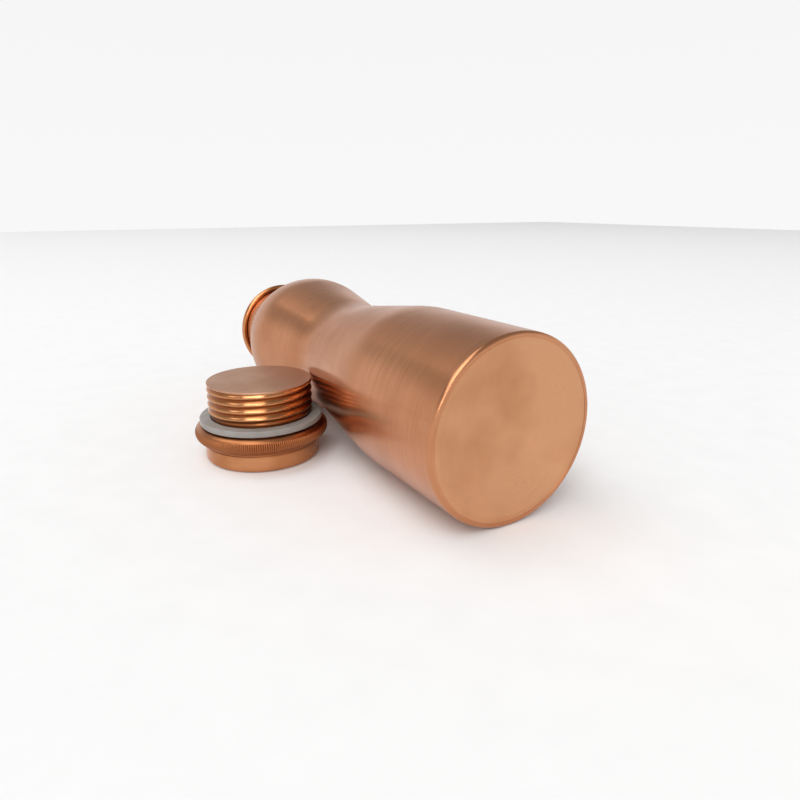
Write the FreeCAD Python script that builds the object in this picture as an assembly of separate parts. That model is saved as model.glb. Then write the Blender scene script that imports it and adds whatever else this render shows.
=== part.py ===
import FreeCAD, Part
import math
import os

# Copper water bottle lying on its side, with its screw cap standing upside down beside it.
# Millimetres, +Z up, Z = 0 on the table. The bottle's axis is along X: base at +X, mouth at -X.
# Along the bottle, s is the distance from the base plane; r is always a radius.
# On the cap, which stands on its top face, z is the height above the table.

V = FreeCAD.Vector

# ---- bottle body: spun sheet copper -------------------------------------------------
BODY_R = 37.5            # lower body and upper bulb
SHEET = 0.8              # wall
LENGTH = 234.6           # base plane to the top of the lip
EDGE_R = 1.4             # rounded edge round the base
HEM_IN_R = 35.2          # inner edge of the turned-in base hem
CYL_END_S = 58.8         # the straight lower body ends here
TAPER_R = 86.6           # convex curve from the lower body into the waist
WAIST_S = 127.0
WAIST_R = 29.55
WAIST_CURVE_R = 55.7     # concave curve of the waist
BULB_S = 180.2
BULB_CURVE_R = 51.0      # convex curve of the bulb
SHOULDER_S = 209.0       # the bulb curve tightens into the shoulder here
SHOULDER_CURVE_R = 5.0
NECK_R = 26.75           # outside of the short tube the collar is brazed into
NECK_END_S = 218.5
NECK_FILLET_R = 1.0

# ---- base dish ----------------------------------------------------------------------
DISH_RIM_IN_R = 33.0     # the rim of the dish ends and the hollow starts
DISH_RIM_S = 0.1         # the rim's outer edge stands this far behind the base plane
DISH_RIM_FALL = 0.2      # the rim slopes in by this much
DISH_DEPTH = 4.2         # depth of the hollow at the centre
DISH_SKIRT = 6.5         # height of the skirt that stands inside the body

# ---- neck collar with rolled lip ----------------------------------------------------
COLLAR_R = 25.95         # outside of the collar tube
MOUTH_R = 25.15          # smooth wall just inside the lip
COLLAR_START_S = 206.0
ENTRY_START_S = 229.4    # the smooth wall starts here
LIP_R = 1.72              # outside radius of the rolled lip
LIP_OPEN_DEG = 290.0     # the roll stops just short of the tube
COLLAR_FOOT_R = 24.95    # plain wall below the thread

# ---- rolled thread, shared by collar and plug ---------------------------------------
PITCH = 3.5
WAVE = 0.5               # half of the thread depth
PLUG_MEAN_R = 24.2
COLLAR_MEAN_R = 24.65
STEPS_PER_TURN = 8

# ---- cap ----------------------------------------------------------------------------
CAP_SHEET = 1.0
DRUM_R = 27.3
DRUM_EDGE_R = 1.5
GROOVE_Z = 7.6
GROOVE_H = 0.6
GROOVE_D = 0.4
FLARE_R = 27.7           # foot of the flared band
BULGE_R = 31.6           # widest radius of the flared band
BULGE_Z = 13.2
BULGE_CURVE_R = 3.6
COVE_CURVE_R = 1.0
BULGE_WALL = 1.5         # wall where the band is widest
CROWN_EDGE = 0.4         # the band's crown drops to the recess over this width
WALL_GAP = 0.1           # extra wall inside the drum, under the groove
RECESS_R = 25.6          # the step round the gasket seat
RECESS_Z = 15.6
SEAT_Z = 17.5
PLUG_ROOT_R = 23.7
PLUG_IN_R = 22.8
SLEEVE_FOOT_Z = 14.6
PLUG_END_Z = 37.2
DISC_T = 0.8
DISC_R = 24.5
THREAD_START_Z = 20.8    # smooth root below, where the gasket sits

# ---- gasket -------------------------------------------------------------------------
GASKET_IN_R = 24.05
GASKET_OUT_R = 28.9
GASKET_T = 2.9
GASKET_EDGE_R = 0.5

# ---- brazed seams -------------------------------------------------------------------
BRAZE = 0.9

# ---- layout on the table ------------------------------------------------------------
CAP_S = 120.5            # the cap stands this far from the base plane
CAP_GAP_Y = 55.2         # between the bottle's axis and the cap's axis
BASE_X = LENGTH / 2.0
AXIS_Z = BODY_R
AXIS_Y = (CAP_GAP_Y + BULGE_R - BODY_R) / 2.0
CAP_X = BASE_X - CAP_S
CAP_Y = AXIS_Y - CAP_GAP_Y


def on_bottle(s, r):
    """Point of the bottle's profile, in the plane above its axis."""
    return V(BASE_X - s, AXIS_Y, AXIS_Z + r)


def on_cap(r, z):
    """Point of the cap's profile, in the plane on its +X side."""
    return V(CAP_X + r, CAP_Y, z)


def line(place, a, b):
    return Part.makeLine(place(*a), place(*b))


def arc(place, centre, radius, start_deg, end_deg):
    """Arc whose angles are measured in the profile's own two coordinates."""
    points = []
    for share in (0.0, 0.5, 1.0):
        angle = math.radians(start_deg + (end_deg - start_deg) * share)
        points.append(place(centre[0] + radius * math.cos(angle), centre[1] + radius * math.sin(angle)))
    return Part.Arc(*points).toShape()


def path(place, points):
    """Straight edges through the points."""
    return [line(place, a, b) for a, b in zip(points, points[1:])]


def end_of(centre, radius, deg):
    angle = math.radians(deg)
    return (centre[0] + radius * math.cos(angle), centre[1] + radius * math.sin(angle))


def revolve(edges, centre, axis):
    face = Part.Face(Part.Wire(Part.__sortEdges__(edges)))
    solid = face.revolve(centre, axis, 360.0)
    if solid.Volume < 0:
        solid.reverse()
    return solid


def revolve_bottle(edges):
    return revolve(edges, on_bottle(0.0, 0.0), V(1, 0, 0))


def revolve_cap(edges):
    return revolve(edges, on_cap(0.0, 0.0), V(0, 0, 1))


def blend_deg(convex, convex_r, concave, concave_r):
    """Direction, at the convex centre, of the straight line that joins the two curves smoothly."""
    ds = concave[0] - convex[0]
    dr = concave[1] - convex[1]
    towards = math.degrees(math.atan2(dr, ds))
    opening = math.degrees(math.acos((convex_r + concave_r) / math.hypot(ds, dr)))
    if ds > 0:
        return towards + opening
    return towards - opening


def body_curve(inset):
    """The body's profile from the base edge to the neck's end, moved inwards by the given inset."""
    edge = (EDGE_R, BODY_R - EDGE_R)
    taper = (CYL_END_S, BODY_R - TAPER_R)
    waist = (WAIST_S, WAIST_R + WAIST_CURVE_R)
    bulb = (BULB_S, BODY_R - BULB_CURVE_R)
    shoulder_deg = math.degrees(math.acos((SHOULDER_S - BULB_S) / BULB_CURVE_R))
    shoulder = end_of(bulb, BULB_CURVE_R - SHOULDER_CURVE_R, shoulder_deg)
    fillet_rise = NECK_R + NECK_FILLET_R - shoulder[1]
    fillet_reach = math.sqrt((SHOULDER_CURVE_R + NECK_FILLET_R) ** 2 - fillet_rise ** 2)
    fillet = (shoulder[0] + fillet_reach, NECK_R + NECK_FILLET_R)
    fillet_deg = math.degrees(math.atan2(fillet_rise, fillet_reach))
    down = blend_deg(taper, TAPER_R, waist, WAIST_CURVE_R)
    up = blend_deg(bulb, BULB_CURVE_R, waist, WAIST_CURVE_R)
    edge_r = EDGE_R - inset
    taper_r = TAPER_R - inset
    waist_r = WAIST_CURVE_R + inset
    bulb_r = BULB_CURVE_R - inset
    place = on_bottle
    return [
        arc(place, edge, edge_r, 180.0, 90.0),
        line(place, end_of(edge, edge_r, 90.0), end_of(taper, taper_r, 90.0)),
        arc(place, taper, taper_r, 90.0, down),
        line(place, end_of(taper, taper_r, down), end_of(waist, waist_r, down - 180.0)),
        arc(place, waist, waist_r, down - 180.0, up - 180.0),
        line(place, end_of(waist, waist_r, up - 180.0), end_of(bulb, bulb_r, up)),
        arc(place, bulb, bulb_r, up, shoulder_deg),
        arc(place, shoulder, SHOULDER_CURVE_R - inset, shoulder_deg, fillet_deg),
        arc(place, fillet, NECK_FILLET_R + inset, fillet_deg - 180.0, -90.0),
        line(place, (fillet[0], NECK_R - inset), (NECK_END_S, NECK_R - inset)),
    ]


def make_body_shell():
    """Spun tube with a hem turned in at the base and a short open neck."""
    hem_r = BODY_R - EDGE_R
    ends = path(on_bottle, [(0.0, hem_r), (0.0, HEM_IN_R), (SHEET, HEM_IN_R), (SHEET, hem_r)])
    ends.append(line(on_bottle, (NECK_END_S, NECK_R), (NECK_END_S, NECK_R - SHEET)))
    return revolve_bottle(body_curve(0.0) + body_curve(SHEET) + ends)


def dish_arc(sag, edge_s):
    """Shallow hollow from its rim to the axis."""
    radius = (DISH_RIM_IN_R ** 2 + sag ** 2) / (2.0 * sag)
    half = math.degrees(math.asin(DISH_RIM_IN_R / radius))
    return arc(on_bottle, (edge_s + sag - radius, 0.0), radius, half, 0.0)


def make_base_dish():
    """Hollowed disc: its rim fills the hem flush, and its skirt stands up the inside of the body."""
    skirt_r = BODY_R - SHEET
    hollow_s = DISH_RIM_S + DISH_RIM_FALL
    high = SHEET + SHEET
    top = SHEET + DISH_SKIRT
    apex = hollow_s + DISH_DEPTH
    corner = (high, skirt_r - SHEET)
    edges = [dish_arc(DISH_DEPTH, hollow_s), dish_arc(apex + SHEET - high, high)]
    edges.append(line(on_bottle, (apex, 0.0), (apex + SHEET, 0.0)))
    edges += path(on_bottle, [
        (hollow_s, DISH_RIM_IN_R), (DISH_RIM_S, HEM_IN_R), (SHEET, HEM_IN_R), (SHEET, corner[1])])
    edges.append(arc(on_bottle, corner, SHEET, 180.0, 90.0))
    edges += path(on_bottle, [
        (corner[0], skirt_r), (top, skirt_r), (top, skirt_r - SHEET), (high, skirt_r - SHEET),
        (high, DISH_RIM_IN_R)])
    return revolve_bottle(edges)


def make_base_braze():
    """Bead of brazing metal where the skirt's top meets the body wall."""
    wall = BODY_R - SHEET
    top = SHEET + DISH_SKIRT
    return revolve_bottle(path(on_bottle, [(top, wall), (top + BRAZE, wall), (top, wall - SHEET), (top, wall)]))


def thread_sections(start, end, radius_at, wave_at, ring):
    """Wires of a rolled single-start thread: circles whose centre walks round once per pitch."""
    count = int(round((end - start) / PITCH * STEPS_PER_TURN))
    wires = []
    for i in range(count + 1):
        along = start + (end - start) * i / count
        turn = 2.0 * math.pi * along / PITCH
        wires.append(ring(along, radius_at(along), wave_at(along), turn))
    return wires


def fade(value, start, end):
    """0 to 1 smooth step between start and end, whichever way round they are."""
    share = min(1.0, max(0.0, (value - start) / (end - start)))
    return share * share * (3.0 - 2.0 * share)


def collar_ring(s, radius, wave, turn):
    centre = on_bottle(s, 0.0) + V(0, wave * math.cos(turn), wave * math.sin(turn))
    return Part.Wire(Part.makeCircle(radius, centre, V(-1, 0, 0)))


def plug_ring(z, radius, wave, turn):
    centre = on_cap(0.0, z) + V(wave * math.cos(turn), wave * math.sin(turn), 0)
    return Part.Wire(Part.makeCircle(radius, centre, V(0, 0, 1)))


def collar_thread_core():
    """The space inside the collar's thread, as a solid to cut away."""
    start = COLLAR_START_S + PITCH / 2.0
    end = ENTRY_START_S

    def share(s):
        return fade(s, start, start + PITCH) * fade(s, end, end - PITCH)

    def radius_at(s):
        plain = MOUTH_R if s > (start + end) / 2.0 else COLLAR_FOOT_R
        return plain + (COLLAR_MEAN_R - plain) * share(s)

    wires = thread_sections(start, end, radius_at, lambda s: WAVE * share(s), collar_ring)
    return Part.makeLoft(wires, True, False)


def make_neck_collar():
    """Threaded tube with a rolled lip; it is brazed into the body's neck."""
    lip = (LENGTH - LIP_R, MOUTH_R + LIP_R)
    inside = LIP_R - (COLLAR_R - MOUTH_R)
    start = COLLAR_START_S + PITCH / 2.0
    stop = LIP_OPEN_DEG - 90.0
    edges = [
        arc(on_bottle, lip, LIP_R, -90.0, stop),
        arc(on_bottle, lip, inside, -90.0, stop),
        line(on_bottle, end_of(lip, LIP_R, stop), end_of(lip, inside, stop)),
    ]
    rolled_lip = revolve_bottle(edges + path(on_bottle, [
        (lip[0], COLLAR_R), (ENTRY_START_S, COLLAR_R), (ENTRY_START_S, MOUTH_R), (lip[0], MOUTH_R)]))
    blank = Part.makeCylinder(COLLAR_R, ENTRY_START_S - start, on_bottle(start, 0.0), V(-1, 0, 0))
    foot = revolve_bottle(path(on_bottle, [
        (COLLAR_START_S, COLLAR_FOOT_R), (COLLAR_START_S, COLLAR_R), (start, COLLAR_R),
        (start, COLLAR_FOOT_R), (COLLAR_START_S, COLLAR_FOOT_R)]))
    threaded = blank.cut(collar_thread_core())
    return threaded.fuse(foot).fuse(rolled_lip).removeSplitter()


def make_collar_braze():
    """Bead of brazing metal round the collar at the end of the neck."""
    foot = (NECK_END_S, COLLAR_R)
    return revolve_bottle(path(on_bottle, [foot, (NECK_END_S, NECK_R), (NECK_END_S + BRAZE, COLLAR_R), foot]))


def cap_outer():
    """Outside of the cap, from the middle of its top face to the gasket seat."""
    foot_z = GROOVE_Z + GROOVE_H
    bulge = (BULGE_R - BULGE_CURVE_R, BULGE_Z)
    cove = (FLARE_R + COVE_CURVE_R, foot_z)
    reach = math.hypot(cove[0] - bulge[0], cove[1] - bulge[1])
    towards = math.degrees(math.atan2(cove[1] - bulge[1], cove[0] - bulge[0]))
    opening = math.degrees(math.acos((BULGE_CURVE_R + COVE_CURVE_R) / reach))
    meet = towards + opening
    groove_r = DRUM_R - GROOVE_D
    place = on_cap
    edges = [line(place, (0.0, 0.0), (DRUM_R - DRUM_EDGE_R, 0.0))]
    edges.append(arc(place, (DRUM_R - DRUM_EDGE_R, DRUM_EDGE_R), DRUM_EDGE_R, -90.0, 0.0))
    edges += path(place, [
        (DRUM_R, DRUM_EDGE_R), (DRUM_R, GROOVE_Z), (groove_r, GROOVE_Z), (groove_r, foot_z), (FLARE_R, foot_z)])
    edges.append(arc(place, cove, COVE_CURVE_R, 180.0, meet + 180.0))
    edges.append(line(place, end_of(cove, COVE_CURVE_R, meet + 180.0), end_of(bulge, BULGE_CURVE_R, meet)))
    edges.append(arc(place, bulge, BULGE_CURVE_R, meet, 90.0))
    edges += path(place, [
        (bulge[0], BULGE_Z + BULGE_CURVE_R), (bulge[0] - CROWN_EDGE, RECESS_Z), (RECESS_R, RECESS_Z),
        (RECESS_R, SEAT_Z), (PLUG_ROOT_R, SEAT_Z)])
    return edges


def make_cap_shell():
    """Drum, flared band and gasket seat, spun from one sheet and hollow inside."""
    wall_r = DRUM_R - CAP_SHEET - WALL_GAP
    under = RECESS_Z - CAP_SHEET
    inner = path(on_cap, [
        (PLUG_ROOT_R, SEAT_Z), (PLUG_ROOT_R, SEAT_Z - CAP_SHEET), (RECESS_R - CAP_SHEET, SEAT_Z - CAP_SHEET),
        (RECESS_R - CAP_SHEET, under), (BULGE_R - BULGE_CURVE_R, under), (BULGE_R - BULGE_WALL, BULGE_Z),
        (wall_r, GROOVE_Z + GROOVE_H), (wall_r, CAP_SHEET), (0.0, CAP_SHEET), (0.0, 0.0)])
    return revolve_cap(cap_outer() + inner)


def make_plug_sleeve():
    """Tube with the rolled outside thread that screws into the mouth."""
    end = PLUG_END_Z - DISC_T

    def share(z):
        return fade(z, THREAD_START_Z, THREAD_START_Z + PITCH / 2.0) * fade(z, end, end - PITCH / 4.0)

    def radius_at(z):
        rise = fade(z, THREAD_START_Z, THREAD_START_Z + PITCH / 2.0)
        return PLUG_ROOT_R + (PLUG_MEAN_R - PLUG_ROOT_R) * rise

    wires = thread_sections(THREAD_START_Z, end, radius_at, lambda z: WAVE * share(z), plug_ring)
    threaded = Part.makeLoft(wires, True, False)
    root = Part.makeCylinder(PLUG_ROOT_R, THREAD_START_Z - SLEEVE_FOOT_Z, on_cap(0.0, SLEEVE_FOOT_Z))
    bore = Part.makeCylinder(PLUG_IN_R, end - SLEEVE_FOOT_Z, on_cap(0.0, SLEEVE_FOOT_Z))
    return threaded.fuse(root).cut(bore).removeSplitter()


def make_end_disc():
    """Flat disc with a crisp edge that closes the plug."""
    return Part.makeCylinder(DISC_R, DISC_T, on_cap(0.0, PLUG_END_Z - DISC_T))


def make_sleeve_braze():
    """Bead of brazing metal under the seat, round the sleeve's foot."""
    top = SEAT_Z - CAP_SHEET
    return revolve_cap(path(on_cap, [
        (PLUG_ROOT_R, top), (PLUG_ROOT_R + BRAZE, top), (PLUG_ROOT_R, top - BRAZE), (PLUG_ROOT_R, top)]))


def make_disc_braze():
    """Bead of brazing metal in the corner between the end disc and the sleeve."""
    top = PLUG_END_Z - DISC_T
    return revolve_cap(path(on_cap, [
        (PLUG_IN_R, top), (PLUG_IN_R, top - BRAZE), (PLUG_IN_R - BRAZE, top), (PLUG_IN_R, top)]))


def make_gasket():
    """Flat silicone washer lying loose on the seat, round the plug's smooth root."""
    washer = Part.makeCylinder(GASKET_OUT_R, GASKET_T, on_cap(0.0, SEAT_Z))
    washer = washer.cut(Part.makeCylinder(GASKET_IN_R, GASKET_T, on_cap(0.0, SEAT_Z)))
    rounded = []
    for edge in washer.Edges:
        is_round = isinstance(edge.Curve, Part.Circle)
        if is_round and edge.Curve.Radius > GASKET_IN_R + GASKET_EDGE_R:
            rounded.append(edge)
    return washer.makeFillet(GASKET_EDGE_R, rounded)


def save(name, shape):
    solids = shape.Solids
    if len(solids) != 1 or not shape.isValid():
        raise ValueError(name + " is not one valid solid")
    solids[0].exportStep("parts/" + name + ".step")


os.makedirs("parts", exist_ok=True)
save("body_shell", make_body_shell())
save("base_dish", make_base_dish())
save("base_braze_ring", make_base_braze())
save("neck_collar", make_neck_collar())
save("collar_braze_ring", make_collar_braze())
save("cap_shell", make_cap_shell())
save("cap_plug_sleeve", make_plug_sleeve())
save("cap_end_disc", make_end_disc())
save("sleeve_braze_ring", make_sleeve_braze())
save("disc_braze_ring", make_disc_braze())
save("cap_gasket", make_gasket())
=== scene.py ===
import math

import bpy
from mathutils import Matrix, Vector


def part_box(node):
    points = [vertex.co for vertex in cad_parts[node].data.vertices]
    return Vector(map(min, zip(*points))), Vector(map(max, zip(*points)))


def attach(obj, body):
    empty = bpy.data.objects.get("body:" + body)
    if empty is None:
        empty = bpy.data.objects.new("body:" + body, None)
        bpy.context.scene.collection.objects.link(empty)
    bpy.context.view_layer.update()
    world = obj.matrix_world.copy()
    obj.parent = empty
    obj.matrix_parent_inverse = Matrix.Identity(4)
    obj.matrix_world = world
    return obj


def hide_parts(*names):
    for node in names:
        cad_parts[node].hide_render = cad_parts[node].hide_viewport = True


# A waisted copper water bottle lies on its side; its screw cap stands upside down beside it.
# Everything is in metres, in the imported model's frame. Along the bottle, s is the distance from
# the base plane; r is always a radius. On the cap, z is the height above the table.

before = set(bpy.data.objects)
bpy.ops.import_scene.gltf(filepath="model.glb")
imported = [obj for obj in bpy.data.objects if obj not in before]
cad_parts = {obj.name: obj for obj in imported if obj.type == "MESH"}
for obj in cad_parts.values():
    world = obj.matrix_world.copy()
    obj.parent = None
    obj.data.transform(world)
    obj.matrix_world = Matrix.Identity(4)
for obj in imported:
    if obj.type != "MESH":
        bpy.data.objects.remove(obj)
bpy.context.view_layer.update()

MM = 0.001
TAU = 2.0 * math.pi

# ---- places, from the frame ---------------------------------------------------------
shell_low, shell_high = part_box("body_shell")
collar_low, collar_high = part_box("neck_collar")
drum_low, drum_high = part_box("cap_shell")
disc_low, disc_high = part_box("cap_end_disc")
gasket_low, gasket_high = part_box("cap_gasket")

BODY_R = (shell_high[2] - shell_low[2]) / 2.0
BASE_X = shell_high[0]
AXIS_Y = (shell_low[1] + shell_high[1]) / 2.0
AXIS_Z = (shell_low[2] + shell_high[2]) / 2.0
LENGTH = BASE_X - collar_low[0]
CAP_X = (drum_low[0] + drum_high[0]) / 2.0
CAP_Y = (drum_low[1] + drum_high[1]) / 2.0
SEAT_Z = gasket_low[2]
PLUG_END_Z = disc_high[2]
BULGE_R = (drum_high[0] - drum_low[0]) / 2.0
DISC_R = (disc_high[0] - disc_low[0]) / 2.0
GASKET_OUT_R = (gasket_high[0] - gasket_low[0]) / 2.0

# ---- bottle -------------------------------------------------------------------------
SHEET = 0.8 * MM
EDGE_R = 1.4 * MM
HEM_IN_R = 35.2 * MM
CYL_END_S = 58.8 * MM
TAPER_R = 86.6 * MM
WAIST_S = 127.0 * MM
WAIST_R = 29.55 * MM
WAIST_CURVE_R = 55.7 * MM
BULB_S = 180.2 * MM
BULB_CURVE_R = 51.0 * MM
SHOULDER_S = 209.0 * MM
SHOULDER_CURVE_R = 5.0 * MM
NECK_R = 26.75 * MM
NECK_END_S = 218.5 * MM
NECK_FILLET_R = 1.0 * MM
DISH_RIM_IN_R = 33.0 * MM
DISH_RIM_S = 0.1 * MM
DISH_RIM_FALL = 0.2 * MM
DISH_DEPTH = 4.2 * MM
DISH_SKIRT = 6.5 * MM
COLLAR_R = 25.95 * MM
MOUTH_R = 25.15 * MM
COLLAR_START_S = 206.0 * MM
ENTRY_START_S = 229.4 * MM
COLLAR_FOOT_R = 24.95 * MM
LIP_R = 1.72 * MM
LIP_OPEN_DEG = 290.0

# ---- thread -------------------------------------------------------------------------
PITCH = 3.5 * MM
WAVE = 0.5 * MM
PLUG_MEAN_R = 24.2 * MM
COLLAR_MEAN_R = 24.65 * MM

# ---- cap ----------------------------------------------------------------------------
CAP_SHEET = 1.0 * MM
DRUM_R = 27.3 * MM
DRUM_EDGE_R = 1.5 * MM
GROOVE_Z = 7.6 * MM
GROOVE_H = 0.6 * MM
GROOVE_D = 0.4 * MM
FLARE_R = 27.7 * MM
BULGE_Z = 13.2 * MM
BULGE_CURVE_R = 3.6 * MM
COVE_CURVE_R = 1.0 * MM
GROOVE_SLOPE = 0.1 * MM
BULGE_WALL = 1.5 * MM
CROWN_EDGE = 0.4 * MM
WALL_GAP = 0.1 * MM
SEAT_EDGE_R = 0.3 * MM
RECESS_R = 25.6 * MM
RECESS_Z = 15.6 * MM
PLUG_ROOT_R = 23.7 * MM
PLUG_IN_R = 22.8 * MM
SLEEVE_FOOT_Z = 14.6 * MM
DISC_T = 0.8 * MM
THREAD_START_Z = 20.8 * MM
# a point this much inside the root is not on the sleeve's outside
SLEEVE_SKIN = 0.2 * MM
GASKET_IN_R = 24.05 * MM
GASKET_EDGE_R = 0.5 * MM
DISC_EDGE_R = 0.15 * MM

# ---- knurl --------------------------------------------------------------------------
KNURLS = 200
KNURL_DEPTH = 0.3 * MM
# heights above the foot where the ridges grow, and above the bulge's middle where they die out
KNURL_GROW = (0.5 * MM, 1.5 * MM)
KNURL_DIE = (1.6 * MM, 2.6 * MM)
# a point this much inside the flare's foot is not on the band's outside
KNURL_SKIN = 0.05 * MM

# ---- mesh fineness ------------------------------------------------------------------
ARC_STEP = 0.45 * MM
EDGE_STEP = 0.12 * MM
LONG_STEP = 1.2 * MM
THREAD_STEP = 0.25 * MM
SLEEVE_STEP = 0.2 * MM
CAP_STEP = 0.15 * MM
DISC_STEP = 0.8 * MM
DISC_EDGE_STEP = 0.05 * MM
GASKET_STEP = 0.1 * MM
DISH_STEP = 0.6 * MM
DISH_BACK_STEP = 1.6 * MM
WIDE_STEP = 1.0 * MM
HIDDEN_STEP = 2.0 * MM
ROUND_STEPS = 192
FINE_ROUND_STEPS = 256
STEPS_PER_KNURL = 5
SHARP_DEG = 34.0
SAME_POINT = 1e-7


# ======================================================================================
# Outlines: lists of (along, r) points
# ======================================================================================

def end_of(centre, radius, deg):
    angle = math.radians(deg)
    return (centre[0] + radius * math.cos(angle), centre[1] + radius * math.sin(angle))


def arc(centre, radius, start_deg, end_deg, step=ARC_STEP):
    """Points along an arc, both ends included."""
    sweep = end_deg - start_deg
    count = max(6, int(abs(math.radians(sweep)) * radius / step))
    return [end_of(centre, radius, start_deg + sweep * i / count) for i in range(count + 1)]


def straight(a, b, step=ARC_STEP):
    """Points along a line, both ends included."""
    count = max(1, int(math.dist(a, b) / step))
    return [
        (a[0] + (b[0] - a[0]) * i / count, a[1] + (b[1] - a[1]) * i / count)
        for i in range(count + 1)
    ]


def joined(*runs):
    """The runs as one outline, without the points they share."""
    outline = []
    for run in runs:
        for point in run:
            if not outline or math.dist(outline[-1], point) > SAME_POINT:
                outline.append(point)
    return outline


def polyline(*points):
    return joined(*[straight(a, b) for a, b in zip(points, points[1:])])


def fade(value, start, end):
    """0 to 1 smooth step between start and end, whichever way round they are."""
    share = min(1.0, max(0.0, (value - start) / (end - start)))
    return share * share * (3.0 - 2.0 * share)


def blend_deg(convex, convex_r, concave, concave_r):
    """Direction, at the convex centre, of the straight line that joins the two curves smoothly."""
    ds = concave[0] - convex[0]
    dr = concave[1] - convex[1]
    towards = math.degrees(math.atan2(dr, ds))
    opening = math.degrees(math.acos((convex_r + concave_r) / math.hypot(ds, dr)))
    if ds > 0:
        return towards + opening
    return towards - opening


# ======================================================================================
# Turned meshes
# ======================================================================================

def bottle_point(s, r, angle):
    return Vector((BASE_X - s, AXIS_Y + r * math.sin(angle), AXIS_Z + r * math.cos(angle)))


def cap_point(z, r, angle):
    return Vector((CAP_X + r * math.cos(angle), CAP_Y + r * math.sin(angle), z))


def turned(name, outline, place, closed=True, steps=ROUND_STEPS, shape=None, inside=False):
    """Mesh of an outline turned round an axis.

    shape(along, r, angle) may change the radius. inside turns the faces over, for an outline that
    runs the other way round. The attribute grain holds (cos, sin, run in mm), so a material can run
    round the axis without a seam. U runs across the brushing, which goes round the axis.
    """
    points = outline + outline[:1] if closed else outline
    runs = [0.0]
    for a, b in zip(points, points[1:]):
        runs.append(runs[-1] + math.dist(a, b))
    rows = len(outline)
    verts = []
    grain = []
    rings = []
    for i, (along, r) in enumerate(outline):
        if r < SAME_POINT:
            rings.append([len(verts)] * steps)
            verts.append(place(along, 0.0, 0.0))
            grain.append((0.0, 0.0, runs[i] / MM))
            continue
        ring = []
        for j in range(steps):
            angle = TAU * j / steps
            ring.append(len(verts))
            verts.append(place(along, shape(along, r, angle) if shape else r, angle))
            grain.append((math.cos(angle), math.sin(angle), runs[i] / MM))
        rings.append(ring)
    faces = []
    uvs = []
    spans = rows if closed else rows - 1
    for i in range(spans):
        low = rings[i]
        high = rings[(i + 1) % rows]
        for j in range(steps):
            k = (j + 1) % steps
            corners = [(low[j], j, i), (low[k], j + 1, i), (high[k], j + 1, i + 1), (high[j], j, i + 1)]
            kept = []
            for corner in corners:
                if corner[0] not in [c[0] for c in kept]:
                    kept.append(corner)
            if inside:
                kept.reverse()
            faces.append([c[0] for c in kept])
            uvs += [(runs[c[2]] / runs[-1], c[1] / steps) for c in kept]
    mesh = bpy.data.meshes.new(name)
    mesh.from_pydata(verts, [], faces)
    layer = mesh.uv_layers.new(name="UVMap")
    for i, uv in enumerate(uvs):
        layer.data[i].uv = uv
    attribute = mesh.attributes.new("grain", "FLOAT_VECTOR", "POINT")
    for i, value in enumerate(grain):
        attribute.data[i].vector = value
    mesh.update()
    mesh.shade_smooth()
    mesh.set_sharp_from_angle(angle=math.radians(SHARP_DEG))
    piece = bpy.data.objects.new(name, mesh)
    bpy.context.scene.collection.objects.link(piece)
    return piece


def add(piece, body, material, slot, *nodes):
    """Gives a piece its look and its body, and hides the CAD nodes it stands for."""
    piece.data.materials.append(material)
    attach(piece, body)
    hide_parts(*nodes)


# ======================================================================================
# Bottle pieces
# ======================================================================================

def body_curve(inset):
    """The body's profile from the base edge to the neck's end, moved inwards by the given inset."""
    edge = (EDGE_R, BODY_R - EDGE_R)
    taper = (CYL_END_S, BODY_R - TAPER_R)
    waist = (WAIST_S, WAIST_R + WAIST_CURVE_R)
    bulb = (BULB_S, BODY_R - BULB_CURVE_R)
    shoulder_deg = math.degrees(math.acos((SHOULDER_S - BULB_S) / BULB_CURVE_R))
    shoulder = end_of(bulb, BULB_CURVE_R - SHOULDER_CURVE_R, shoulder_deg)
    rise = NECK_R + NECK_FILLET_R - shoulder[1]
    reach = math.sqrt((SHOULDER_CURVE_R + NECK_FILLET_R) ** 2 - rise ** 2)
    fillet = (shoulder[0] + reach, NECK_R + NECK_FILLET_R)
    fillet_deg = math.degrees(math.atan2(rise, reach))
    down = blend_deg(taper, TAPER_R, waist, WAIST_CURVE_R)
    up = blend_deg(bulb, BULB_CURVE_R, waist, WAIST_CURVE_R)
    fine = EDGE_STEP
    coarse = LONG_STEP
    taper_r = TAPER_R - inset
    waist_r = WAIST_CURVE_R + inset
    bulb_r = BULB_CURVE_R - inset
    return joined(
        arc(edge, EDGE_R - inset, 180.0, 90.0, fine),
        straight(end_of(edge, EDGE_R - inset, 90.0), end_of(taper, taper_r, 90.0), coarse),
        arc(taper, taper_r, 90.0, down, coarse),
        straight(end_of(taper, taper_r, down), end_of(waist, waist_r, down - 180.0), coarse),
        arc(waist, waist_r, down - 180.0, up - 180.0, coarse),
        straight(end_of(waist, waist_r, up - 180.0), end_of(bulb, bulb_r, up), coarse),
        arc(bulb, bulb_r, up, shoulder_deg, coarse),
        arc(shoulder, SHOULDER_CURVE_R - inset, shoulder_deg, fillet_deg),
        arc(fillet, NECK_FILLET_R + inset, fillet_deg - 180.0, -90.0, fine),
        straight((fillet[0], NECK_R - inset), (NECK_END_S, NECK_R - inset)),
    )


def make_body():
    hem = straight((SHEET, HEM_IN_R), (0.0, HEM_IN_R))
    outline = joined(hem, body_curve(0.0), body_curve(SHEET)[::-1])
    return turned("body_shell_spun", outline, bottle_point, steps=FINE_ROUND_STEPS)


def dish_arc(sag, edge_s, step):
    """Shallow hollow from the axis out to the rim."""
    radius = (DISH_RIM_IN_R ** 2 + sag ** 2) / (2.0 * sag)
    half = math.degrees(math.asin(DISH_RIM_IN_R / radius))
    return arc((edge_s + sag - radius, 0.0), radius, 0.0, half, step)


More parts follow.
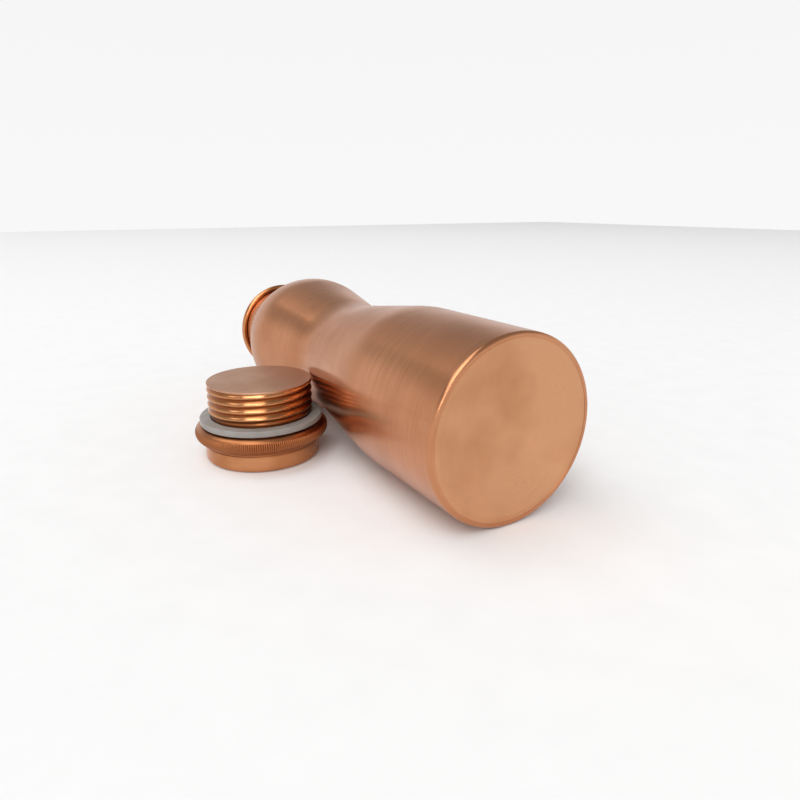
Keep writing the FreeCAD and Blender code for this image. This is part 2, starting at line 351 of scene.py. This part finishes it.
def make_dish():
    """Hollowed disc: its rim fills the hem flush, and its skirt stands up the inside of the body."""
    skirt_r = BODY_R - SHEET
    hollow_s = DISH_RIM_S + DISH_RIM_FALL
    high = SHEET + SHEET
    top = SHEET + DISH_SKIRT
    corner = (high, skirt_r - SHEET)
    outline = joined(
        dish_arc(DISH_DEPTH, hollow_s, DISH_STEP),
        straight((hollow_s, DISH_RIM_IN_R), (DISH_RIM_S, HEM_IN_R)),
        straight((DISH_RIM_S, HEM_IN_R), (SHEET, HEM_IN_R)),
        straight((SHEET, HEM_IN_R), (SHEET, corner[1])),
        arc(corner, SHEET, 180.0, 90.0, EDGE_STEP),
        straight((corner[0], skirt_r), (top, skirt_r), WIDE_STEP),
        straight((top, skirt_r), (top, skirt_r - SHEET)),
        straight((top, skirt_r - SHEET), (high, skirt_r - SHEET), WIDE_STEP),
        straight((high, skirt_r - SHEET), (high, DISH_RIM_IN_R)),
        dish_arc(hollow_s + DISH_DEPTH + SHEET - high, high, DISH_BACK_STEP)[::-1],
    )
    return turned("base_dish_spun", outline, bottle_point, closed=False)


def make_collar():
    """Threaded tube with its rolled lip."""
    lip = (LENGTH - LIP_R, MOUTH_R + LIP_R)
    inside_r = LIP_R - (COLLAR_R - MOUTH_R)
    start = COLLAR_START_S + PITCH / 2.0
    stop = LIP_OPEN_DEG - 90.0
    fine = THREAD_STEP

    def thread(s, r, angle):
        if r > (COLLAR_R + MOUTH_R) / 2.0 or s < start or s > ENTRY_START_S:
            return r
        share = fade(s, start, start + PITCH) * fade(s, ENTRY_START_S, ENTRY_START_S - PITCH)
        return r + (COLLAR_MEAN_R - r) * share + WAVE * share * math.cos(angle - TAU * s / PITCH)

    outline = joined(
        straight((COLLAR_START_S, COLLAR_FOOT_R), (start, COLLAR_FOOT_R), fine),
        straight((start + fine, COLLAR_FOOT_R), (ENTRY_START_S - PITCH, COLLAR_FOOT_R), fine),
        straight((ENTRY_START_S - PITCH + fine, MOUTH_R), (lip[0], MOUTH_R), fine),
        arc(lip, LIP_R, -90.0, stop, fine),
        arc(lip, inside_r, stop, -90.0, fine),
        straight((lip[0], COLLAR_R), (COLLAR_START_S, COLLAR_R), WIDE_STEP),
    )
    return turned("neck_collar_rolled", outline, bottle_point, steps=FINE_ROUND_STEPS,
                  shape=thread, inside=True)


# ======================================================================================
# Cap pieces
# ======================================================================================

def make_cap_shell():
    """Drum, knurled flared band and gasket seat."""
    foot_z = GROOVE_Z + GROOVE_H
    bulge = (BULGE_R - BULGE_CURVE_R, BULGE_Z)
    cove = (FLARE_R + COVE_CURVE_R, foot_z)
    reach = math.dist(cove, bulge)
    towards = math.degrees(math.atan2(cove[1] - bulge[1], cove[0] - bulge[0]))
    meet = towards + math.degrees(math.acos((BULGE_CURVE_R + COVE_CURVE_R) / reach))
    groove_r = DRUM_R - GROOVE_D
    wall_r = DRUM_R - CAP_SHEET - WALL_GAP
    under = RECESS_Z - CAP_SHEET
    fine = CAP_STEP
    corner = (DRUM_R - DRUM_EDGE_R, DRUM_EDGE_R)
    crown = (bulge[0] - CROWN_EDGE, RECESS_Z)
    seat_corner = (RECESS_R - SEAT_EDGE_R, SEAT_Z - SEAT_EDGE_R)
    # these points are (r, z), and are swapped to (z, r) before turning
    outline = joined(
        straight((0.0, 0.0), (corner[0], 0.0), WIDE_STEP),
        arc(corner, DRUM_EDGE_R, -90.0, 0.0, fine),
        straight((DRUM_R, DRUM_EDGE_R), (DRUM_R, GROOVE_Z)),
        straight((DRUM_R, GROOVE_Z), (groove_r, GROOVE_Z + GROOVE_SLOPE), fine),
        straight((groove_r, GROOVE_Z + GROOVE_SLOPE), (groove_r, foot_z - GROOVE_SLOPE), fine),
        straight((groove_r, foot_z - GROOVE_SLOPE), (FLARE_R, foot_z), fine),
        arc(cove, COVE_CURVE_R, 180.0, meet + 180.0, fine),
        straight(end_of(cove, COVE_CURVE_R, meet + 180.0), end_of(bulge, BULGE_CURVE_R, meet), fine),
        arc(bulge, BULGE_CURVE_R, meet, 90.0, fine),
        straight((bulge[0], BULGE_Z + BULGE_CURVE_R), crown, fine),
        straight(crown, (RECESS_R, RECESS_Z)),
        straight((RECESS_R, RECESS_Z), (RECESS_R, seat_corner[1])),
        arc(seat_corner, SEAT_EDGE_R, 0.0, 90.0, fine),
        polyline(
            (seat_corner[0], SEAT_Z),
            (PLUG_ROOT_R, SEAT_Z),
            (PLUG_ROOT_R, SEAT_Z - CAP_SHEET),
            (RECESS_R - CAP_SHEET, SEAT_Z - CAP_SHEET),
            (RECESS_R - CAP_SHEET, under),
            (bulge[0], under),
            (BULGE_R - BULGE_WALL, BULGE_Z),
            (wall_r, foot_z),
        ),
        straight((wall_r, foot_z), (wall_r, CAP_SHEET), WIDE_STEP),
        straight((wall_r, CAP_SHEET), (0.0, CAP_SHEET), HIDDEN_STEP),
    )

    def knurl(z, r, angle):
        if r < FLARE_R - KNURL_SKIN or z < foot_z:
            return r
        grow = fade(z, foot_z + KNURL_GROW[0], foot_z + KNURL_GROW[1])
        share = grow * fade(z, BULGE_Z + KNURL_DIE[1], BULGE_Z + KNURL_DIE[0])
        ridge = abs(math.sin(KNURLS * angle / 2.0))
        return r - KNURL_DEPTH * share * (1.0 - ridge)

    turned_outline = [(z, r) for r, z in outline]
    return turned("cap_shell_knurled", turned_outline, cap_point, closed=False,
                  steps=KNURLS * STEPS_PER_KNURL, shape=knurl)


def make_sleeve():
    """Plug with the rolled thread."""
    end = PLUG_END_Z - DISC_T
    fine = SLEEVE_STEP

    def thread(z, r, angle):
        if r < PLUG_ROOT_R - SLEEVE_SKIN or z < THREAD_START_Z:
            return r
        rise = fade(z, THREAD_START_Z, THREAD_START_Z + PITCH / 2.0)
        share = rise * fade(z, end, end - PITCH / 4.0)
        return r + (PLUG_MEAN_R - PLUG_ROOT_R) * rise + WAVE * share * math.cos(angle - TAU * z / PITCH)

    outline = joined(
        straight((SLEEVE_FOOT_Z, PLUG_IN_R), (SLEEVE_FOOT_Z, PLUG_ROOT_R)),
        straight((SLEEVE_FOOT_Z, PLUG_ROOT_R), (THREAD_START_Z, PLUG_ROOT_R), fine),
        straight((THREAD_START_Z, PLUG_ROOT_R), (end, PLUG_ROOT_R), fine),
        straight((end, PLUG_ROOT_R), (end, PLUG_IN_R)),
    )
    return turned("cap_plug_thread", outline, cap_point, steps=FINE_ROUND_STEPS, shape=thread)


def make_disc():
    """End disc with a slightly softened rim."""
    low = PLUG_END_Z - DISC_T
    soft = DISC_EDGE_R
    outline = joined(
        straight((low, 0.0), (low, DISC_R - soft), HIDDEN_STEP),
        arc((low + soft, DISC_R - soft), soft, 180.0, 90.0, DISC_EDGE_STEP),
        arc((PLUG_END_Z - soft, DISC_R - soft), soft, 90.0, 0.0, DISC_EDGE_STEP),
        straight((PLUG_END_Z, DISC_R - soft), (PLUG_END_Z, 0.0), DISC_STEP),
    )
    return turned("cap_end_disc_plate", outline, cap_point, closed=False)


def make_gasket():
    """Flat washer with soft edges."""
    top = SEAT_Z + (gasket_high[2] - gasket_low[2])
    soft = GASKET_EDGE_R
    fine = GASKET_STEP
    outline = joined(
        straight((SEAT_Z, GASKET_IN_R), (SEAT_Z, GASKET_OUT_R - soft)),
        arc((SEAT_Z + soft, GASKET_OUT_R - soft), soft, 180.0, 90.0, fine),
        straight((SEAT_Z + soft, GASKET_OUT_R), (top - soft, GASKET_OUT_R)),
        arc((top - soft, GASKET_OUT_R - soft), soft, 90.0, 0.0, fine),
        straight((top, GASKET_OUT_R - soft), (top, GASKET_IN_R)),
        straight((top, GASKET_IN_R), (SEAT_Z, GASKET_IN_R)),
    )
    return turned("cap_gasket_washer", outline[:-1], cap_point)


# ======================================================================================
# Materials
# ======================================================================================

class Nodes:
    """Small helper round one material's node tree."""

    def __init__(self, name):
        self.material = bpy.data.materials.new(name)
        self.material.use_nodes = True
        self.tree = self.material.node_tree
        self.shader = self.tree.nodes["Principled BSDF"]

    def new(self, kind, **settings):
        node = self.tree.nodes.new(kind)
        for key, value in settings.items():
            setattr(node, key, value)
        return node

    def link(self, a, b):
        self.tree.links.new(a, b)

    def grain(self, round_scale, run_scale):
        """Coordinates that run round the turned axis: long along the brushing, short across it."""
        attribute = self.new("ShaderNodeAttribute", attribute_name="grain")
        scale = self.new("ShaderNodeVectorMath", operation="MULTIPLY")
        scale.inputs[1].default_value = (round_scale, round_scale, run_scale)
        self.link(attribute.outputs["Vector"], scale.inputs[0])
        return scale.outputs[0]

    def noise(self, vector, scale=1.0, detail=2.0):
        node = self.new("ShaderNodeTexNoise")
        node.inputs["Scale"].default_value = scale
        node.inputs["Detail"].default_value = detail
        self.link(vector, node.inputs["Vector"])
        return node.outputs[0]

    def position(self):
        return self.new("ShaderNodeTexCoord").outputs["Object"]

    def plug_radius(self):
        """Distance from the cap's axis."""
        offset = self.new("ShaderNodeVectorMath", operation="SUBTRACT")
        offset.inputs[1].default_value = (CAP_X, CAP_Y, 0.0)
        self.link(self.position(), offset.inputs[0])
        flat = self.new("ShaderNodeVectorMath", operation="MULTIPLY")
        flat.inputs[1].default_value = (1.0, 1.0, 0.0)
        self.link(offset.outputs[0], flat.inputs[0])
        length = self.new("ShaderNodeVectorMath", operation="LENGTH")
        self.link(flat.outputs[0], length.inputs[0])
        return length.outputs["Value"]

    def band_distance(self):
        """Height above or below the level where the knurled band is darkest."""
        split = self.new("ShaderNodeSeparateXYZ")
        self.link(self.position(), split.inputs[0])
        offset = self.new("ShaderNodeMath", operation="SUBTRACT")
        self.link(split.outputs[2], offset.inputs[0])
        offset.inputs[1].default_value = BULGE_Z - BAND_DROP
        size = self.new("ShaderNodeMath", operation="ABSOLUTE")
        self.link(offset.outputs[0], size.inputs[0])
        return size.outputs[0]

    def spread(self, value, low, high, from_low=0.3, from_high=0.7):
        node = self.new("ShaderNodeMapRange")
        node.inputs["From Min"].default_value = from_low
        node.inputs["From Max"].default_value = from_high
        node.inputs["To Min"].default_value = low
        node.inputs["To Max"].default_value = high
        self.link(value, node.inputs["Value"])
        return node.outputs[0]

    def mix(self, factor, a, b):
        node = self.new("ShaderNodeMix", data_type="RGBA")
        for socket, value in ((node.inputs[0], factor), (node.inputs[6], a), (node.inputs[7], b)):
            if hasattr(value, "is_output"):
                self.link(value, socket)
            else:
                socket.default_value = value
        return node.outputs[2]

    def add(self, a, b, share):
        """a plus share of b."""
        node = self.new("ShaderNodeMath", operation="MULTIPLY_ADD")
        self.link(b, node.inputs[0])
        node.inputs[1].default_value = share
        self.link(a, node.inputs[2])
        return node.outputs[0]

    def bump(self, height, strength, distance):
        node = self.new("ShaderNodeBump")
        node.inputs["Strength"].default_value = strength
        node.inputs["Distance"].default_value = distance
        self.link(height, node.inputs["Height"])
        self.link(node.outputs[0], self.shader.inputs["Normal"])


def rgba(red, green, blue):
    return (red, green, blue, 1.0)


GROOVE_BUMP = 0.02 * MM
PATCH_SCALE = 38.0
PATCH_RANGE = (0.42, 0.68)
LONG_GROOVES = 0.9
DULLNESS_RANGE = (-0.04, 0.05)
HOLLOW_DULLNESS = 0.14
# A darker colour round the knurled band, darkest just below the bulge's middle, fading out above and
# below.
BAND_DROP = 1.0 * MM
BAND_DARK = (2.8 * MM, 5.6 * MM)
# Painted shade: the plug's thread valleys get a darker colour that stands in for the shade in the
# grooves.
THREAD_DARK = (PLUG_MEAN_R - WAVE, PLUG_MEAN_R + 0.4 * WAVE)
BAND_DARK_TONE = rgba(0.36, 0.13, 0.05)
# colour of the painted shade in the thread valleys
THREAD_VALLEY_PAINTED_SHADE = rgba(0.26, 0.08, 0.025)
SILICONE_TONES = (rgba(0.33, 0.312, 0.29), rgba(0.27, 0.256, 0.238))
SILICONE_BUMP = 0.05 * MM
BRAZE_TONES = (rgba(0.76, 0.42, 0.20), rgba(0.50, 0.24, 0.10))
BRAZE_BUMP = 0.2 * MM


def copper(name, colour, tarnish, rough, anisotropy, brushing, round_scale=2.0, run_scale=5.0,
           streaks=0.16, darkening=None):
    """Brushed copper: fine grooves round the axis, soft patches of tarnish.

    darkening is (coordinates, (deep, high), colour): a darker colour that fades out from deep to high.
    On the thread it is painted shade in the valleys; on the cap it darkens a band round the knurl.
    """
    n = Nodes(name)
    fine = n.noise(n.grain(round_scale, run_scale), detail=3.0)
    broad = n.noise(n.grain(round_scale * 0.5, LONG_GROOVES), detail=3.0)
    patches = n.noise(n.position(), scale=PATCH_SCALE, detail=4.0)
    grooves = n.add(fine, broad, 0.6)
    tint = n.mix(n.spread(patches, 0.0, 1.0, *PATCH_RANGE), colour, tarnish)
    streaked = n.mix(n.spread(broad, 0.0, streaks), tint, tarnish)
    low, high = DULLNESS_RANGE
    dullness = n.spread(n.add(patches, fine, 0.5), rough + low, rough + high, 0.5, 1.0)
    # Mixes in a darker colour by depth: painted shade in the thread valleys, or a darker band round the
    # cap's knurl.
    if darkening:
        measure, span, dark_tone = darkening
        depth = n.spread(measure(n), 1.0, 0.0, *span)
        streaked = n.mix(depth, streaked, dark_tone)
        dullness = n.add(dullness, depth, HOLLOW_DULLNESS)
    n.link(streaked, n.shader.inputs["Base Color"])
    n.link(dullness, n.shader.inputs["Roughness"])
    n.shader.inputs["Metallic"].default_value = 1.0
    n.shader.inputs["Anisotropic"].default_value = anisotropy
    tangent = n.new("ShaderNodeTangent", direction_type="UV_MAP", uv_map="UVMap")
    n.link(tangent.outputs[0], n.shader.inputs["Tangent"])
    n.bump(grooves, brushing, GROOVE_BUMP)
    return n.material


def silicone():
    """Whitish translucent washer, faintly mottled."""
    n = Nodes("silicone")
    cloud = n.noise(n.position(), scale=160.0, detail=3.0)
    n.link(n.mix(n.spread(cloud, 0.0, 1.0), *SILICONE_TONES), n.shader.inputs["Base Color"])
    n.link(n.spread(cloud, 0.38, 0.52), n.shader.inputs["Roughness"])
    n.shader.inputs["IOR"].default_value = 1.41
    n.shader.inputs["Subsurface Weight"].default_value = 0.35
    n.shader.inputs["Subsurface Scale"].default_value = 1.5 * MM
    n.bump(cloud, 0.15, SILICONE_BUMP)
    return n.material


def braze_metal():
    """Dull yellowish filler with a lumpy skin."""
    n = Nodes("braze")
    lumps = n.noise(n.position(), scale=420.0, detail=3.0)
    n.link(n.mix(n.spread(lumps, 0.0, 1.0), *BRAZE_TONES), n.shader.inputs["Base Color"])
    n.link(n.spread(lumps, 0.35, 0.5), n.shader.inputs["Roughness"])
    n.shader.inputs["Metallic"].default_value = 1.0
    n.bump(lumps, 0.4, BRAZE_BUMP)
    return n.material


# ======================================================================================
# The object
# ======================================================================================

def build_object():
    body = copper(
        "copper_body", rgba(0.62, 0.285, 0.148), rgba(0.50, 0.21, 0.10),
        rough=0.22, anisotropy=0.8, brushing=0.4, streaks=0.8,
    )
    base = copper(
        "copper_base", rgba(0.65, 0.33, 0.175), rgba(0.55, 0.26, 0.125),
        rough=0.31, anisotropy=0.7, brushing=0.02, round_scale=0.5, run_scale=1.6, streaks=0.1,
    )
    collar = copper(
        "copper_collar", rgba(0.62, 0.27, 0.12), rgba(0.42, 0.15, 0.05),
        rough=0.22, anisotropy=0.4, brushing=0.2,
    )
    # The cap's colour darkens round its knurled band.
    cap = copper(
        "copper_cap", rgba(0.62, 0.28, 0.13), rgba(0.44, 0.17, 0.065),
        rough=0.25, anisotropy=0.6, brushing=0.25,
        darkening=(Nodes.band_distance, BAND_DARK, BAND_DARK_TONE),
    )
    # The thread's valleys are painted darker: painted shade in the grooves.
    thread = copper(
        "copper_thread", rgba(0.66, 0.31, 0.14), rgba(0.46, 0.18, 0.065),
        rough=0.17, anisotropy=0.4, brushing=0.2,
        darkening=(Nodes.plug_radius, THREAD_DARK, THREAD_VALLEY_PAINTED_SHADE),
    )
    disc = copper(
        "copper_disc", rgba(0.62, 0.36, 0.24), rgba(0.52, 0.28, 0.17),
        rough=0.42, anisotropy=0.2, brushing=0.3,
    )
    add(make_body(), "bottle", body, "copper_brushed", "body_shell")
    add(make_dish(), "bottle", base, "copper_base", "base_dish")
    add(make_collar(), "bottle", collar, "copper_collar", "neck_collar")
    add(make_cap_shell(), "cap", cap, "copper_cap", "cap_shell")
    add(make_sleeve(), "cap", thread, "copper_thread", "cap_plug_sleeve")
    add(make_disc(), "cap", disc, "copper_disc", "cap_end_disc")
    add(make_gasket(), "gasket", silicone(), "silicone", "cap_gasket")
    braze = braze_metal()
    for node in ("base_braze_ring", "collar_braze_ring", "sleeve_braze_ring", "disc_braze_ring"):
        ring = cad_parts[node]
        ring.data.materials.clear()
        ring.data.materials.append(braze)


# ======================================================================================
# Studio
# ======================================================================================

FLOOR_HALF = 3.0
FLOOR_DROP = 0.2 * MM
FLOOR_TONES = (rgba(0.92, 0.92, 0.92), rgba(0.90, 0.90, 0.90))
# brightness of the dome by height, where 0 is the horizon and 1 is overhead
DOME_STOPS = ((0.0, 0.94), (0.27, 0.92), (0.50, 0.45), (1.0, 0.38))
LIGHT_DISTANCE = 8.0
# name, azimuth from +X, elevation, size, brightness; all white
LIGHTS = (
    ("overhead", 240.0, 65.0, 6.0, 2.0),
    ("front", 321.0, 48.0, 4.8, 3.6),
    ("base_side", 339.0, 14.0, 2.4, 4.0),
)


def dome_direction(azimuth, elevation):
    """Unit vector from the object towards a place on the dome."""
    a = math.radians(azimuth)
    e = math.radians(elevation)
    return Vector((math.cos(e) * math.cos(a), math.cos(e) * math.sin(a), math.sin(e)))


def soft_light(name, azimuth, elevation, size, level):
    """Plain white square soft box, facing the object."""
    light = bpy.data.lights.new(name, "AREA")
    light.shape = "SQUARE"
    light.size = size
    light.energy = level * math.pi * size * size
    lamp = bpy.data.objects.new(name, light)
    towards = dome_direction(azimuth, elevation)
    lamp.location = Vector((0.0, 0.0, AXIS_Z)) + towards * LIGHT_DISTANCE
    lamp.rotation_euler = towards.to_track_quat("Z", "Y").to_euler()
    bpy.context.scene.collection.objects.link(lamp)


def build_floor():
    """Plain pale floor."""
    mesh = bpy.data.meshes.new("floor")
    half = FLOOR_HALF
    corners = [(-half, -half, 0), (half, -half, 0), (half, half, 0), (-half, half, 0)]
    mesh.from_pydata(corners, [], [(0, 1, 2, 3)])
    floor = bpy.data.objects.new("floor", mesh)
    bpy.context.scene.collection.objects.link(floor)
    n = Nodes("floor_paint")
    speckle = n.noise(n.position(), scale=60.0, detail=2.0)
    n.link(n.mix(n.spread(speckle, 0.0, 1.0), *FLOOR_TONES), n.shader.inputs["Base Color"])
    n.shader.inputs["Roughness"].default_value = 0.9
    n.shader.inputs["Specular IOR Level"].default_value = 0.0
    mesh.materials.append(n.material)
    floor.location.z = -FLOOR_DROP


def build_world():
    """Neutral dome, the same for everything that sees it: white at the horizon, dimmer overhead."""
    world = bpy.data.worlds.new("dome")
    bpy.context.scene.world = world
    world.use_nodes = True
    tree = world.node_tree
    sky = tree.nodes.new("ShaderNodeTexCoord")
    split = tree.nodes.new("ShaderNodeSeparateXYZ")
    ramp = tree.nodes.new("ShaderNodeValToRGB")
    stops = ramp.color_ramp.elements
    stops[0].color = rgba(*[DOME_STOPS[0][1]] * 3)
    stops[1].color = rgba(*[DOME_STOPS[-1][1]] * 3)
    for height, level in DOME_STOPS[1:-1]:
        stops.new(height).color = rgba(level, level, level)
    tree.links.new(sky.outputs["Generated"], split.inputs[0])
    tree.links.new(split.outputs[2], ramp.inputs[0])
    tree.links.new(ramp.outputs[0], tree.nodes["Background"].inputs["Color"])


CAMERA_HEADING = 59.1
CAMERA_DIP = 17.7
CAMERA_FROM_BASE = (0.1573, -0.1428, 0.1167)
CAMERA_LENS = 27.63
CAMERA_SENSOR = 36.0
CAMERA_NEAR = 0.01


def build_lights():
    for settings in LIGHTS:
        soft_light(*settings)


def build_camera():
    """A near view from the base's side, a little above."""
    camera = bpy.data.cameras.new("camera")
    camera.lens = CAMERA_LENS
    camera.sensor_width = CAMERA_SENSOR
    camera.clip_start = CAMERA_NEAR
    holder = bpy.data.objects.new("camera", camera)
    holder.location = Vector((BASE_X, AXIS_Y, 0.0)) + Vector(CAMERA_FROM_BASE)
    holder.rotation_euler = (math.radians(90.0 - CAMERA_DIP), 0.0, math.radians(CAMERA_HEADING))
    bpy.context.scene.collection.objects.link(holder)
    bpy.context.scene.camera = holder


build_object()
build_floor()
build_world()
build_camera()
build_lights()
bpy.context.scene.view_settings.view_transform = "Standard"
